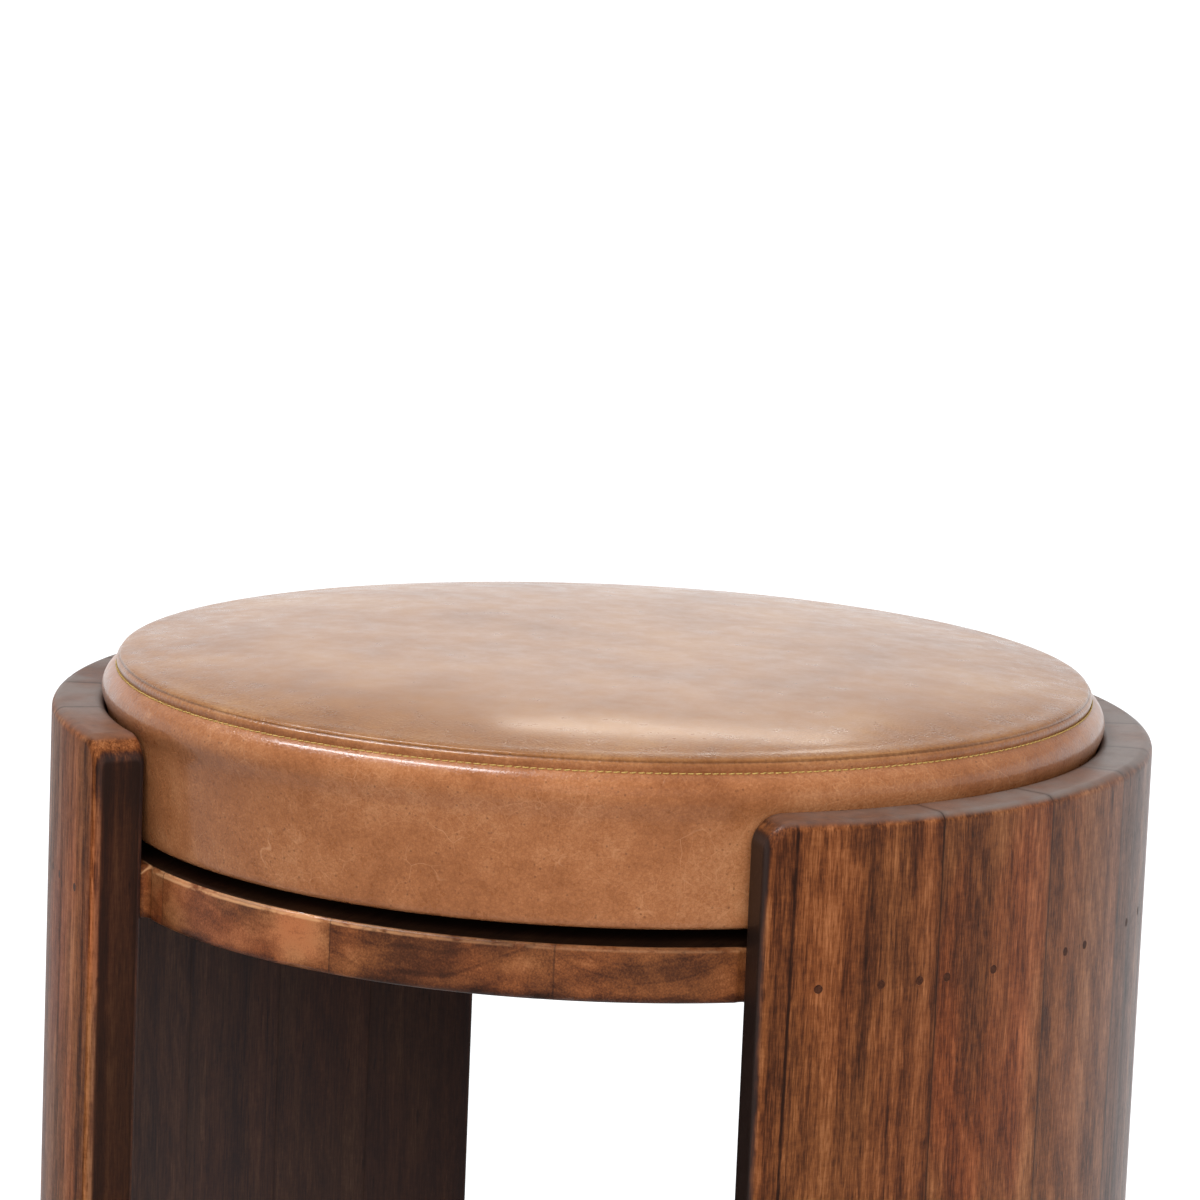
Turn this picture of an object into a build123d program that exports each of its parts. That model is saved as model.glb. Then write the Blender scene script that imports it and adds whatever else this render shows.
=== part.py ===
from build123d import *
import math
import os

os.makedirs("parts", exist_ok=True)

# Round drum stool: two curved wooden panels glued up from upright staves, a round seat
# board of edge-glued planks between them, and a sewn leather seat pad on top.
# Millimetres, +Z up. The origin is on the floor, under the middle of the drum. The two
# openings face -Y (front) and +Y (back), and the panels stand at +X (right) and -X (left).

# Drum wall
drum_radius = 225.0
wall_thickness = 21.5
wall_height = 420.0
front_opening_angle = 76.8
back_opening_angle = 74.8
top_corner_radius = 12.0
foot_corner_radius = 5.0
wall_arris_radius = 4.2
right_stave_shares = (19.25, 15.4, 15.75, 13.1, 13.8, 13.3, 13.6)
left_stave_shares = (17.0, 14.0, 15.5, 13.0, 16.0, 13.5, 14.0)

# Floor glides under the panels
glide_radius = 7.0
glide_height = 4.0
glide_edge_radius = 1.0
glide_pin_radius = 1.2
glide_pin_length = 12.0
glide_stave_numbers = (1, 4, 7)

# Seat board
board_drop = 52.8
board_thickness = 21.6
glue_line = 0.2
rim_setback = 3.0
rim_arris_radius = 1.8
relief_radius = 3.8
relief_shift = 1.6
rim_corner_radius = 2.2
plank_seam_shares = (-0.569, -0.129, 0.309, 0.735)

# Nails through the staves into the board's edge, and the filler over their heads
nail_radius = 1.1
nail_length = 45.0
nail_point_length = 2.5
nail_set_depth = 1.5
filler_radius = 1.7
nail_clearance = 0.05
nail_shares = (
    (0.31, 0.66, 0.89),
    (0.08, 0.48),
    (0.23, 0.48),
    (0.28, 0.72),
    (0.35, 0.75),
    (0.22, 0.64),
    (0.30, 0.70),
)

# Seat pad: its outer form. Clearances and reaches are counted from the wall's inside.
pad_gap = 5.6
pad_rise = 17.5
pad_foot_clearance = 4.5
pad_neck_clearance = 1.1
pad_roll_reach = 1.9
pad_ridge_clearance = 4.2
pad_seam_clearance = 5.0
pad_ridge_drop = 3.9
pad_side_bulge = 0.5
pad_ridge_bulge = 0.3
pad_hem_round = 3.5
shoulder_width = 45.0
shoulder_rise = 6.1
shoulder_bulge = 0.95
crown_rise = 9.0

# Seat pad: its layers and its fixing
leather_thickness = 1.6
layer_gap = 0.2
wadding_thickness = 5.0
base_thickness = 12.0
hem_width = 24.0
cover_thickness = 0.8
cover_overlap = 6.0
riser_inset = 39.0
staple_count = 28
staple_crown = 10.0
staple_wire = 0.9
staple_leg = 8.0
staple_inset = 12.0
screw_ring_share = 0.7
screw_count = 4
screw_start_angle = 45.0
screw_radius = 2.1
screw_head_radius = 4.2
screw_head_height = 2.6
screw_cover = 4.0
screw_tip_length = 4.0
screw_clearance = 0.1

# How far a cutting solid runs past the piece that it cuts
overrun = 5.0

# Levels, radii and angles that follow from the sizes above
inner_radius = drum_radius - wall_thickness
wall_foot = glide_height
wall_top = wall_foot + wall_height
arris_radius = min(wall_arris_radius, wall_thickness / 3)
board_top = wall_top - board_drop
board_bottom = board_top - board_thickness
board_middle = (board_top + board_bottom) / 2
board_side_radius = inner_radius - glue_line
rim_radius = inner_radius - rim_setback
pad_bottom = board_top + pad_gap
pad_seam_level = wall_top + pad_rise
pad_crown_level = pad_seam_level + crown_rise
pad_foot_radius = inner_radius - pad_foot_clearance
base_bottom = pad_bottom + leather_thickness + layer_gap
base_top = base_bottom + base_thickness
riser_radius = pad_foot_radius - riser_inset
screw_ring_radius = riser_radius * screw_ring_share
screw_tip_level = base_top - screw_cover
slab_radius = drum_radius + overrun
front_angle = -90 + front_opening_angle / 2
panel_angle = 180 - (front_opening_angle + back_opening_angle) / 2


def write(name, shape):
    export_step(shape, "parts/" + name + ".step")


def polar(radius, angle):
    """The point at this radius, turned by this many degrees from +X."""
    return (radius * math.cos(math.radians(angle)), radius * math.sin(math.radians(angle)))


def slab(bottom, top, radius):
    """A plain round slab about the drum's axis."""
    align = (Align.CENTER, Align.CENTER, Align.MIN)
    return Pos(0, 0, bottom) * Cylinder(radius, top - bottom, align=align)


def radial_rod(angle, level, radius, outer_end, length):
    """A rod at this level that runs inwards from outer_end, towards the drum's axis."""
    middle = Pos(outer_end - length / 2, 0, level)
    return Rot(0, 0, angle) * middle * Rot(0, 90, 0) * Cylinder(radius, length)


def panel_ends(side):
    """The angles of a panel's front end and back end."""
    if side == "right":
        return (front_angle, front_angle + panel_angle)
    return (180 - front_angle, 180 - front_angle - panel_angle)


def stave_bounds(side):
    """The angles between which each stave of a panel lies, counted from the front."""
    shares = right_stave_shares if side == "right" else left_stave_shares
    place, back = panel_ends(side)
    bounds = []
    for share in shares:
        width = (back - panel_ends(side)[0]) * share / sum(shares)
        bounds.append((place, place + width))
        place += width
    return bounds


def nail_angles(side):
    """The angle of each nail: two or three nails in each stave."""
    angles = []
    for (start, end), shares in zip(stave_bounds(side), nail_shares):
        angles += [start + share * (end - start) for share in shares]
    return angles


def glide_angles(side):
    """The angle of each floor glide: the middle of the staves that carry one."""
    bounds = stave_bounds(side)
    return [sum(bounds[number - 1]) / 2 for number in glide_stave_numbers]


# Drum wall
def ring_arcs(radii, side):
    """The arcs of these radii along a panel, and the straight lines that join their ends."""
    ends = panel_ends(side)
    for radius in radii:
        CenterArc((0, 0), radius, min(ends), panel_angle)
    for angle in ends:
        Line(polar(radii[0], angle), polar(radii[1], angle))


def curved_panel(side):
    """One whole panel: a ring sector with round top corners and softened arrises."""
    with BuildSketch() as plan:
        with BuildLine():
            ring_arcs((inner_radius, drum_radius), side)
        make_face()
    panel = Pos(0, 0, wall_foot) * extrude(plan.sketch, wall_height)
    ends = panel.edges().filter_by(GeomType.LINE)
    panel = fillet(ends.group_by(Axis.Z)[-1], top_corner_radius)
    ends = panel.edges().filter_by(GeomType.LINE)
    panel = fillet(ends.group_by(Axis.Z)[0], foot_corner_radius)
    curved = panel.faces().filter_by(GeomType.CYLINDER).sort_by(SortBy.AREA)
    return fillet(curved[-1].edges() + curved[-2].edges(), arris_radius)


def stave_wedge(start, end):
    """The wedge of space, from the drum's axis outwards, that one stave fills."""
    reach = 2 * drum_radius
    with BuildSketch() as plan:
        with BuildLine():
            Polyline((0, 0), polar(reach, start), polar(reach, end), close=True)
        make_face()
    return extrude(plan.sketch, wall_top + overrun)


def nail_holes(side):
    """The nails' holes through the wall and the board, and the filler's wider holes."""
    holes = []
    for angle in nail_angles(side):
        head = drum_radius - nail_set_depth
        shank_hole = nail_radius + nail_clearance
        holes.append(radial_rod(angle, board_middle, shank_hole, head, nail_length))
        filler_hole = filler_radius + nail_clearance
        holes.append(radial_rod(angle, board_middle, filler_hole, head + overrun, overrun))
    return holes


def glide_pin_holes(side):
    """Blind holes in the foot of the panel for the glides' pins."""
    middle_radius = drum_radius - wall_thickness / 2
    hole_radius = glide_pin_radius + nail_clearance
    hole = slab(0, wall_foot + glide_pin_length, hole_radius)
    return [Pos(*polar(middle_radius, angle)) * hole for angle in glide_angles(side)]


def make_staves(side):
    panel = curved_panel(side) - nail_holes(side) - glide_pin_holes(side)
    for number, (start, end) in enumerate(stave_bounds(side), 1):
        write(side + "_stave_" + str(number), panel & stave_wedge(start, end))


# Floor glides
def make_glides(side):
    middle_radius = drum_radius - wall_thickness / 2
    disc = slab(0, glide_height, glide_radius)
    foot_edge = disc.edges().group_by(Axis.Z)[0]
    disc = fillet(foot_edge, glide_edge_radius)
    glide = disc + slab(glide_height, glide_height + glide_pin_length, glide_pin_radius)
    places = [Pos(*polar(middle_radius, angle)) for angle in glide_angles(side)]
    write(side + "_floor_glides", Compound([place * glide for place in places]))


# Seat board
def relief_places(side):
    """Where the board is relieved: by both ends of a panel, a little under the panel."""
    front, back = panel_ends(side)
    shift = math.copysign(math.degrees(relief_shift / inner_radius), back - front)
    return [polar(inner_radius, front + shift), polar(inner_radius, back - shift)]


def board_outline():
    """Round rims at the openings, wider arcs under the panels and reliefs between them."""
    with BuildSketch() as plan:
        Circle(rim_radius)
        for side in ("right", "left"):
            with BuildLine():
                ring_arcs((rim_radius / 2, board_side_radius), side)
            make_face()
        for side in ("right", "left"):
            with Locations(*relief_places(side)):
                Circle(relief_radius, mode=Mode.SUBTRACT)
    return fillet(plan.sketch.vertices(), rim_corner_radius)


def whole_board():
    """The board before it is cut into planks, with its arrises softened."""
    board = Pos(0, 0, board_bottom) * extrude(board_outline(), board_thickness)
    edges = board.edges().group_by(Axis.Z)
    return fillet(edges[0] + edges[-1], rim_arris_radius)


def screw_places():
    """Where the pad's screws stand: evenly round a ring about the drum's axis."""
    step = 360 / screw_count
    angles = [screw_start_angle + step * index for index in range(screw_count)]
    return [Pos(*polar(screw_ring_radius, angle)) for angle in angles]


def screw_form(clearance):
    """A countersunk screw that stands on its head, or with a clearance the hole for it."""
    align = (Align.CENTER, Align.CENTER, Align.MIN)
    shank_radius = screw_radius + clearance
    head_radius = screw_head_radius + clearance
    tip_level = screw_tip_level - screw_tip_length
    head = Pos(0, 0, board_bottom) * Cone(head_radius, shank_radius, screw_head_height, align=align)
    shank = slab(board_bottom, tip_level, shank_radius)
    tip_length = screw_tip_length + clearance
    tip = Pos(0, 0, tip_level) * Cone(shank_radius, shank_radius / 4, tip_length, align=align)
    return head + shank + tip


def screw_holes():
    return [place * screw_form(screw_clearance) for place in screw_places()]


def make_planks():
    board = whole_board() - nail_holes("right") - nail_holes("left") - screw_holes()
    seams = [share * board_side_radius for share in plank_seam_shares]
    bounds = [-slab_radius] + seams + [slab_radius]
    align = (Align.MIN, Align.CENTER, Align.MIN)
    for number, (left, right) in enumerate(zip(bounds, bounds[1:]), 1):
        strip = Box(right - left, 2 * slab_radius, board_thickness, align=align)
        write("seat_plank_" + str(number), board & Pos(left, 0, board_bottom) * strip)


# Nails and filler
def make_nails(side):
    nails = []
    fillers = []
    head = drum_radius - nail_set_depth
    shank_length = nail_length - nail_point_length
    for angle in nail_angles(side):
        shank = radial_rod(angle, board_middle, nail_radius, head, shank_length)
        point_middle = Pos(head - shank_length - nail_point_length / 2, 0, board_middle)
        point = Cone(nail_radius / 4, nail_radius, nail_point_length)
        nails.append(shank + Rot(0, 0, angle) * point_middle * Rot(0, 90, 0) * point)
        plug = radial_rod(angle, board_middle, filler_radius, head + overrun, overrun)
        fillers.append(plug & slab(board_bottom, board_top, drum_radius))
    write(side + "_board_nails", Compound(nails))
    write(side + "_nail_filler", Compound(fillers))


# Seat pad
def pad_form(inset):
    """The pad as one turned solid, drawn in on every side by inset."""
    foot = pad_foot_radius - inset
    neck = inner_radius - pad_neck_clearance - inset
    roll = inner_radius + pad_roll_reach - inset
    ridge = inner_radius - pad_ridge_clearance - inset
    seam = inner_radius - pad_seam_clearance - inset
    bottom = pad_bottom + inset
    neck_level = wall_top - arris_radius
    seam_level = pad_seam_level - inset
    ridge_level = seam_level - pad_ridge_drop
    shoulder = seam - shoulder_width
    shoulder_level = pad_seam_level + shoulder_rise - inset
    crown_level = pad_crown_level - inset
    rise = crown_level - shoulder_level
    crown_radius = (shoulder ** 2 + rise ** 2) / (2 * rise)
    half_spread = math.asin(shoulder / crown_radius) / 2
    crown_middle = crown_level - crown_radius * (1 - math.cos(half_spread))
    side_middle = (bottom + pad_hem_round + neck_level) / 2
    round_middle = pad_hem_round * (1 - math.sqrt(0.5))
    with BuildSketch(Plane.XZ) as section:
        with BuildLine():
            Line((0, bottom), (foot - pad_hem_round, bottom))
            ThreePointArc(
                (foot - pad_hem_round, bottom),
                (foot - round_middle, bottom + round_middle),
                (foot, bottom + pad_hem_round),
            )
            ThreePointArc(
                (foot, bottom + pad_hem_round),
                ((foot + neck) / 2 + pad_side_bulge, side_middle),
                (neck, neck_level),
            )
            ThreePointArc(
                (neck, neck_level),
                (roll, (neck_level + ridge_level) / 2),
                (ridge, ridge_level),
            )
            ThreePointArc(
                (ridge, ridge_level),
                ((ridge + seam) / 2 + pad_ridge_bulge, (ridge_level + seam_level) / 2),
                (seam, seam_level),
            )
            ThreePointArc(
                (seam, seam_level),
                ((seam + shoulder) / 2, (seam_level + shoulder_level) / 2 + shoulder_bulge),
                (shoulder, shoulder_level),
            )
            ThreePointArc(
                (shoulder, shoulder_level),
                (crown_radius * math.sin(half_spread), crown_middle),
                (0, crown_level),
            )
            Line((0, crown_level), (0, bottom))
        make_face()
    return revolve(section.sketch, Axis.Z)


def staple_places():
    """One place for each staple, evenly round the hem, with its crown along the hem."""
    ring = pad_foot_radius - staple_inset
    step = 360 / staple_count
    return [Rot(0, 0, step * index) * Pos(ring, 0, pad_bottom) for index in range(staple_count)]


def staple_legs():
    leg = Box(staple_wire, staple_wire, staple_leg, align=(Align.CENTER, Align.CENTER, Align.MIN))
    spread = (staple_crown - staple_wire) / 2
    return [Pos(0, way * spread, 0) * leg for way in (-1, 1)]


def leg_slots():
    return [place * leg for place in staple_places() for leg in staple_legs()]


def make_staples():
    align = (Align.CENTER, Align.CENTER, Align.MAX)
    staple = Box(staple_wire, staple_crown, staple_wire, align=align) + staple_legs()
    write("hem_staples", Compound([place * staple for place in staple_places()]))


def make_leather():
    """The cover: a round top panel and a side band with its hem turned under the base."""
    skin = pad_form(0) - pad_form(leather_thickness)
    above = slab(pad_seam_level, pad_crown_level + overrun, slab_radius)
    below = slab(pad_bottom - overrun, pad_seam_level, slab_radius)
    hem_opening = slab(pad_bottom - overrun, base_top, pad_foot_radius - hem_width)
    write("leather_top", skin & above)
    write("leather_band", (skin & below) - hem_opening - leg_slots())


def make_padding():
    """The foam block and the wadding wrapped over its top and side."""
    above_base = slab(base_top, pad_crown_level, slab_radius)
    wadding_inset = leather_thickness + layer_gap
    foam_inset = wadding_inset + wadding_thickness
    foam_space = pad_form(foam_inset) & above_base
    write("wadding_wrap", (pad_form(wadding_inset) & above_base) - foam_space)
    write("foam_core", pad_form(foam_inset + layer_gap) & above_base)


def make_base():
    """The plywood base inside the cover, the cloth under it and the riser below that."""
    base = pad_form(leather_thickness + layer_gap) & slab(pad_bottom, base_top, slab_radius)
    write("pad_base", base - leg_slots() - screw_holes())
    cover_radius = pad_foot_radius - hem_width + cover_overlap
    cover_bottom = pad_bottom - cover_thickness
    write("dust_cover", slab(cover_bottom, pad_bottom, cover_radius) - screw_holes())
    write("pad_riser", slab(board_top, cover_bottom, riser_radius) - screw_holes())


def make_screws():
    write("pad_screws", Compound([place * screw_form(0) for place in screw_places()]))


for panel_side in ("right", "left"):
    make_staves(panel_side)
    make_nails(panel_side)
    make_glides(panel_side)
make_planks()
make_leather()
make_padding()
make_base()
make_staples()
make_screws()
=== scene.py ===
import math
import random

import bmesh
import bpy
from mathutils import Matrix, Vector


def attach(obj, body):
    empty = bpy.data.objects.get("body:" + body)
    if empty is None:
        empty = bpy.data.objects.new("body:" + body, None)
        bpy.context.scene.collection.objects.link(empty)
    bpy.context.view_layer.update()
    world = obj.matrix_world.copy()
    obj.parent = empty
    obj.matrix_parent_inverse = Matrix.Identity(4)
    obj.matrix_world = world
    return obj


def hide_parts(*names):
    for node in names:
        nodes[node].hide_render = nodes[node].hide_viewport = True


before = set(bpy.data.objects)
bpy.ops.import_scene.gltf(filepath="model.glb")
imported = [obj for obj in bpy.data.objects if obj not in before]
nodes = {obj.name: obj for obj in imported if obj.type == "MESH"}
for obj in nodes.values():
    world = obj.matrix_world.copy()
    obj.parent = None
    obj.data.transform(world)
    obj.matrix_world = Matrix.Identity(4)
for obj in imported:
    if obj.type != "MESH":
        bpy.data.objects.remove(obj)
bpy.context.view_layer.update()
MM = 0.001
random.seed(7)

# Sizes repeated from the part, in metres and degrees
OUTER_RADIUS = 0.225
INNER_RADIUS = 0.2035
WALL_TOP = 0.424
FRONT_ANGLE = -51.6
BACK_ANGLE = 52.6
BOARD_TOP = 0.3712
BOARD_BOTTOM = 0.3496
RIM_RADIUS = 0.2005
PAD_BOTTOM = 0.3768
SEAM_LEVEL = 0.4415
RIGHT_SHARES = (19.25, 15.4, 15.75, 13.1, 13.8, 13.3, 13.6)
LEFT_SHARES = (17.0, 14.0, 15.5, 13.0, 16.0, 13.5, 14.0)
PLANK_EDGES = (-0.2100, -0.1157, -0.0262, 0.0628, 0.1494, 0.2100)


class Shade:
    """Builds one node material: each call adds a node and gives back its output."""

    def __init__(self, name, roughness=0.5, specular=0.5):
        self.material = bpy.data.materials.new(name)
        self.material.use_nodes = True
        self.tree = self.material.node_tree
        self.shader = self.tree.nodes["Principled BSDF"]
        self.shader.inputs["Roughness"].default_value = roughness
        self.shader.inputs["Specular IOR Level"].default_value = specular
        self.place = self.add("ShaderNodeTexCoord", output="Object")

    def put(self, socket, value):
        if isinstance(value, bpy.types.NodeSocket):
            self.tree.links.new(value, socket)
        elif isinstance(value, (tuple, list)) and socket.type == "RGBA" and len(value) == 3:
            socket.default_value = (*value, 1.0)
        else:
            socket.default_value = value

    def add(self, kind, inputs=None, output=0, **settings):
        node = self.tree.nodes.new(kind)
        for key, value in settings.items():
            setattr(node, key, value)
        for key, value in (inputs or {}).items():
            self.put(node.inputs[key], value)
        return node.outputs[output]

    def math(self, operation, *values):
        return self.add("ShaderNodeMath", dict(enumerate(values)), operation=operation)

    def plus(self, first, second):
        return self.math("ADD", first, second)

    def times(self, first, second):
        return self.math("MULTIPLY", first, second)

    def minus(self, first, second):
        return self.math("SUBTRACT", first, second)

    def length(self, first, second):
        """The length of a line that goes this far on two square axes."""
        return self.math("SQRT", self.plus(self.times(first, first), self.times(second, second)))

    def step(self, value, low, high, start=0.0, end=1.0):
        """A smooth change from start to end while value goes from low to high."""
        inputs = {0: value, 1: low, 2: high, 3: start, 4: end}
        return self.add("ShaderNodeMapRange", inputs, interpolation_type="SMOOTHSTEP")

    def hill(self, value, middle, reach):
        """One at the middle, falling smoothly to zero at this reach on both sides."""
        return self.step(self.math("ABSOLUTE", self.minus(value, middle)), reach, 0.0)

    def between(self, share, first, second):
        """The first value where the share is 0, and the second where it is 1."""
        return self.plus(self.times(first, self.minus(1.0, share)), self.times(second, share))

    def vector(self, x, y, z):
        return self.add("ShaderNodeCombineXYZ", {0: x, 1: y, 2: z})

    def axes(self):
        """The place on the piece along x, y and z."""
        split = self.add("ShaderNodeSeparateXYZ", {0: self.place}).node.outputs
        return split[0], split[1], split[2]

    def combine(self, operation, first, second):
        return self.add("ShaderNodeVectorMath", {0: first, 1: second}, operation=operation)

    def noise(self, vector, detail=2.0, roughness=0.5, distortion=0.0, scale=1.0):
        inputs = {"Vector": vector, "Scale": scale, "Detail": detail}
        inputs.update({"Roughness": roughness, "Distortion": distortion})
        return self.add("ShaderNodeTexNoise", inputs)

    def field(self, fineness, detail=2.0, roughness=0.5, distortion=0.0):
        """Noise over the piece, with one fineness, or with one for each of x, y and z."""
        factors = fineness if isinstance(fineness, tuple) else (fineness, fineness, fineness)
        return self.noise(self.combine("MULTIPLY", self.place, factors), detail, roughness, distortion)

    def swing(self, noise):
        """Noise that swings about zero."""
        return self.minus(noise, 0.5)

    def cells(self, vector, scale, feature="F1"):
        inputs = {"Vector": vector, "Scale": scale}
        return self.add("ShaderNodeTexVoronoi", inputs, output="Distance", feature=feature)

    def ramp(self, value, stops):
        node = self.tree.nodes.new("ShaderNodeValToRGB")
        marks = node.color_ramp.elements
        while len(marks) < len(stops):
            marks.new(0.5)
        for mark, (position, colour) in zip(marks, stops):
            mark.position = position
            mark.color = (*colour, 1.0)
        self.put(node.inputs[0], value)
        return node.outputs[0]

    def mix(self, factor, first, second, blend="MIX"):
        inputs = {0: factor, 6: first, 7: second}
        return self.add("ShaderNodeMix", inputs, output=2, data_type="RGBA", blend_type=blend)

    def tint(self, colour, factors):
        """The colour with its red, green and blue multiplied by these factors."""
        return self.mix(1.0, colour, factors, "MULTIPLY")

    def finish(self, colour, roughness=None, height=None, relief=0.0005, strength=1.0):
        """Joins the looks to the shader. The height raises a relief that is this deep in metres."""
        self.put(self.shader.inputs["Base Color"], colour)
        if roughness is not None:
            self.put(self.shader.inputs["Roughness"], roughness)
        if height is not None:
            inputs = {"Height": height, "Distance": relief, "Strength": strength}
            self.put(self.shader.inputs["Normal"], self.add("ShaderNodeBump", inputs))
        return self.material


# Wood colours
DARK = (0.018, 0.0070, 0.0040)
BROWN = (0.060, 0.0195, 0.0080)
WARM = (0.148, 0.0500, 0.0165)
LIGHT = (0.300, 0.1250, 0.0500)
GLUE = (0.014, 0.0070, 0.0050)
WORN_PALE = (0.48, 0.25, 0.12)
END_FACE_GREY = (0.056, 0.047, 0.046)
# Painted reflection of the backdrop on the walls' tops
TOP_REFLECTION_GREY = (0.150, 0.128, 0.116)
# Painted shade inside the walls
INSIDE_SHADE = (0.056, 0.042, 0.038)
# Painted shadow on the board's top under the pad
UNDER_PAD_SHADOW = (0.010, 0.0055, 0.0040)
REDDER = (1.10, 0.80, 0.72)
# Painted bluish sheen inside the walls
INSIDE_SHEEN_TINT = (0.95, 1.18, 1.42)

# The wood's grain, as fineness across and along it
ACROSS, DEPTH, ALONG = 0, 1, 2
SLOW_GRAIN = (14.0, 3.4)
GRAIN_WANDER = 0.008
SEED_SHIFT = 3.17
# Layers: fineness across and along, the axis that the seed moves, detail, roughness, weight
GRAIN_LAYERS = {
    "bands": (70.0, 9.0, ACROSS, 3.0, 0.60, 0.50),
    "lines": (420.0, 26.0, DEPTH, 4.0, 0.70, 0.80),
    "fibres": (1500.0, 110.0, DEPTH, 3.0, 0.65, 1.00),
    "flecks": (260.0, 620.0, ALONG, 3.0, 0.70, 0.34),
    "mottle": (95.0, 42.0, None, 4.0, 0.65, 0.46),
}
# Dark marks: fineness across and along, detail, roughness, the noise at which a mark begins and
# at which it is full, and how much it darkens
GRAIN_MARKS = {
    "streak": (260.0, 3.0, 4.0, 0.62, 0.57, 0.70, 0.16),
    "speck": (480.0, 85.0, 2.0, 0.50, 0.69, 0.78, 0.42),
    "pore": (2600.0, 230.0, 1.0, 0.50, 0.60, 0.72, 0.14),
}


def grain_place(shade, axes, fineness, moved, shift):
    """The place in the wood, scaled across and along the grain, with one axis moved."""
    cross, length = fineness
    parts = [shade.times(axis, factor) for axis, factor in zip(axes, (cross, cross, length))]
    if moved is not None:
        parts[moved] = shade.plus(parts[moved], shift)
    return shade.vector(*parts)


def wood_grain(shade, across, depth, along, seed, figure=0.0, streaks=1.0):
    """Gives the wood's tone from 0, dark, to 1, light, its fine relief and its slow patches."""
    shift = seed * SEED_SHIFT
    slow = grain_place(shade, (across, depth, along), SLOW_GRAIN, ACROSS, shift)
    wander = shade.times(shade.swing(shade.noise(slow)), GRAIN_WANDER)
    axes = (shade.plus(across, wander), depth, along)
    tone = 0.50
    layers = {}
    for name, (cross, length, moved, detail, coarse, weight) in GRAIN_LAYERS.items():
        place = grain_place(shade, axes, (cross, length), moved, shift)
        layers[name] = shade.swing(shade.noise(place, detail, coarse))
        tone = shade.plus(shade.times(layers[name], weight), tone)
    if figure:
        slant = shade.plus(shade.times(axes[ACROSS], 150.0), shade.times(along, 62.0))
        ribbon = shade.noise(shade.vector(slant, shift, shade.times(along, 20.0)), 3.0, 0.65)
        tone = shade.plus(tone, shade.times(shade.swing(ribbon), figure))
    marks = {}
    for name, (cross, length, detail, coarse, begin, full, weight) in GRAIN_MARKS.items():
        place = grain_place(shade, axes, (cross, length), ALONG, shift)
        marks[name] = shade.step(shade.noise(place, detail, coarse), begin, full)
        share = streaks if name == "streak" else 1.0
        tone = shade.minus(tone, shade.times(marks[name], weight * share))
    hollows = shade.plus(marks["pore"], shade.times(marks["speck"], 1.5))
    return tone, shade.minus(layers["fibres"], hollows), shade.noise(slow, scale=2.3)


def wood_colour(shade, tone, patches, redness):
    colour = shade.ramp(tone, [(0.04, DARK), (0.33, BROWN), (0.62, WARM), (1.0, LIGHT)])
    red_share = shade.step(patches, 0.38, 0.64, 0.0, redness)
    return shade.mix(red_share, colour, shade.tint(colour, REDDER))


def arc_length(angle):
    """The way along the walls' outside, in metres, of an angle in degrees."""
    return math.radians(angle) * OUTER_RADIUS


def wall_faces(shade, arc, radius, z):
    """How far a place is from each face of its wall, to tell the arrises from the flats."""
    front = shade.minus(arc, arc_length(FRONT_ANGLE))
    back = shade.minus(arc_length(BACK_ANGLE), arc)
    return {
        "outside": shade.minus(OUTER_RADIUS, radius),
        "inside": shade.minus(radius, INNER_RADIUS),
        "top": shade.minus(WALL_TOP, z),
        "front": front,
        "end": shade.math("MINIMUM", front, back),
    }


def mark_stave_arrises(shade, tone, gaps, breaks):
    """Pale broken arrises round the end face and along the top, and a dark inner arris."""
    end_arris = shade.step(shade.plus(gaps["outside"], gaps["end"]), 0.0036, 0.0025)
    end_arris = shade.times(end_arris, shade.step(breaks, 0.30, 0.56))
    end_arris = shade.times(end_arris, shade.step(gaps["top"], 0.010, 0.030))
    top_arris = shade.step(shade.plus(gaps["outside"], gaps["top"]), 0.0040, 0.0026)
    top_arris = shade.times(top_arris, shade.step(breaks, 0.46, 0.64, 0.0, 0.6))
    inner_arris = shade.step(shade.plus(gaps["inside"], gaps["end"]), 0.0080, 0.0015)
    # The top corner of the end face is darker
    corner = shade.times(shade.step(gaps["end"], 0.0030, 0.0008), shade.step(gaps["top"], 0.040, 0.014))
    for wear, change in ((end_arris, 0.40), (top_arris, 0.34), (inner_arris, -0.30), (corner, -0.34)):
        tone = shade.plus(tone, shade.times(wear, change))
    return tone


def mark_front_end(shade, tone, gaps, on_end):
    """Painted shade darkens the end face; beside its arris, a slanting dark line with a darker edge
    before it.
    """
    line_place = shade.minus(gaps["end"], shade.minus(0.0125, shade.times(gaps["top"], 0.010)))
    line = shade.step(shade.math("ABSOLUTE", line_place), 0.0010, 0.0002)
    before_line = shade.step(line_place, 0.0006, -0.0006)
    edge_band = shade.times(before_line, shade.step(gaps["end"], 0.0034, 0.0050))
    # The end face's darkening is painted shade
    for mark, change in ((on_end, 0.56), (line, 0.40), (edge_band, 0.14)):
        tone = shade.minus(tone, shade.times(mark, change))
    return tone


def streak_end(shade, tone, gaps, on_end, breaks):
    """A dark and an orange streak side by side along the end face."""
    place = shade.plus(gaps["outside"], shade.times(shade.swing(breaks), 0.0030))
    dark_streak = shade.times(shade.hill(place, 0.0050, 0.0034), -0.34)
    orange_streak = shade.times(shade.hill(place, 0.0092, 0.0020), 0.16)
    return shade.plus(tone, shade.times(on_end, shade.plus(dark_streak, orange_streak)))


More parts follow.
